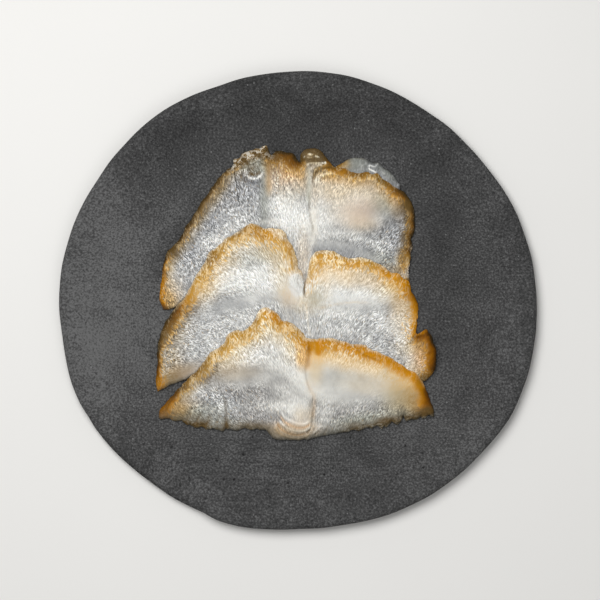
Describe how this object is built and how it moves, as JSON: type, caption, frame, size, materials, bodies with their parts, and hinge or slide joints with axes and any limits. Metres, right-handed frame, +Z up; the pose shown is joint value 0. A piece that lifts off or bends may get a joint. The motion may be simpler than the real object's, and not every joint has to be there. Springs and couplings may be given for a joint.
{
  "type": "plate of cold-smoked greenland halibut",
  "caption": "Round handmade dark grey stoneware plate with overlapping rows of thin cold-smoked Greenland halibut slices, golden at their smoked edges.",
  "frame": {"origin": "centre of the plate's bounding box, on the surface that the plate stands on", "axes": "+Z up out of the plate; +X towards the right lobes of the slices; -Y towards the front row"},
  "size_m": [0.2794, 0.2686, 0.0174],
  "materials": {
    "stoneware": "matt unglazed stoneware, mottled dark grey with fine speckle and pits",
    "fish_flesh": "moist translucent white fish flesh with fine fibres, golden-brown smoked rind along the rear edge"
  },
  "bodies": {
    "root": {"plate": "stoneware", "under_slice": "fish_flesh", "back_slice": "fish_flesh", "middle_slice": "fish_flesh", "front_slice": "fish_flesh"}
  },
  "joints": []
}
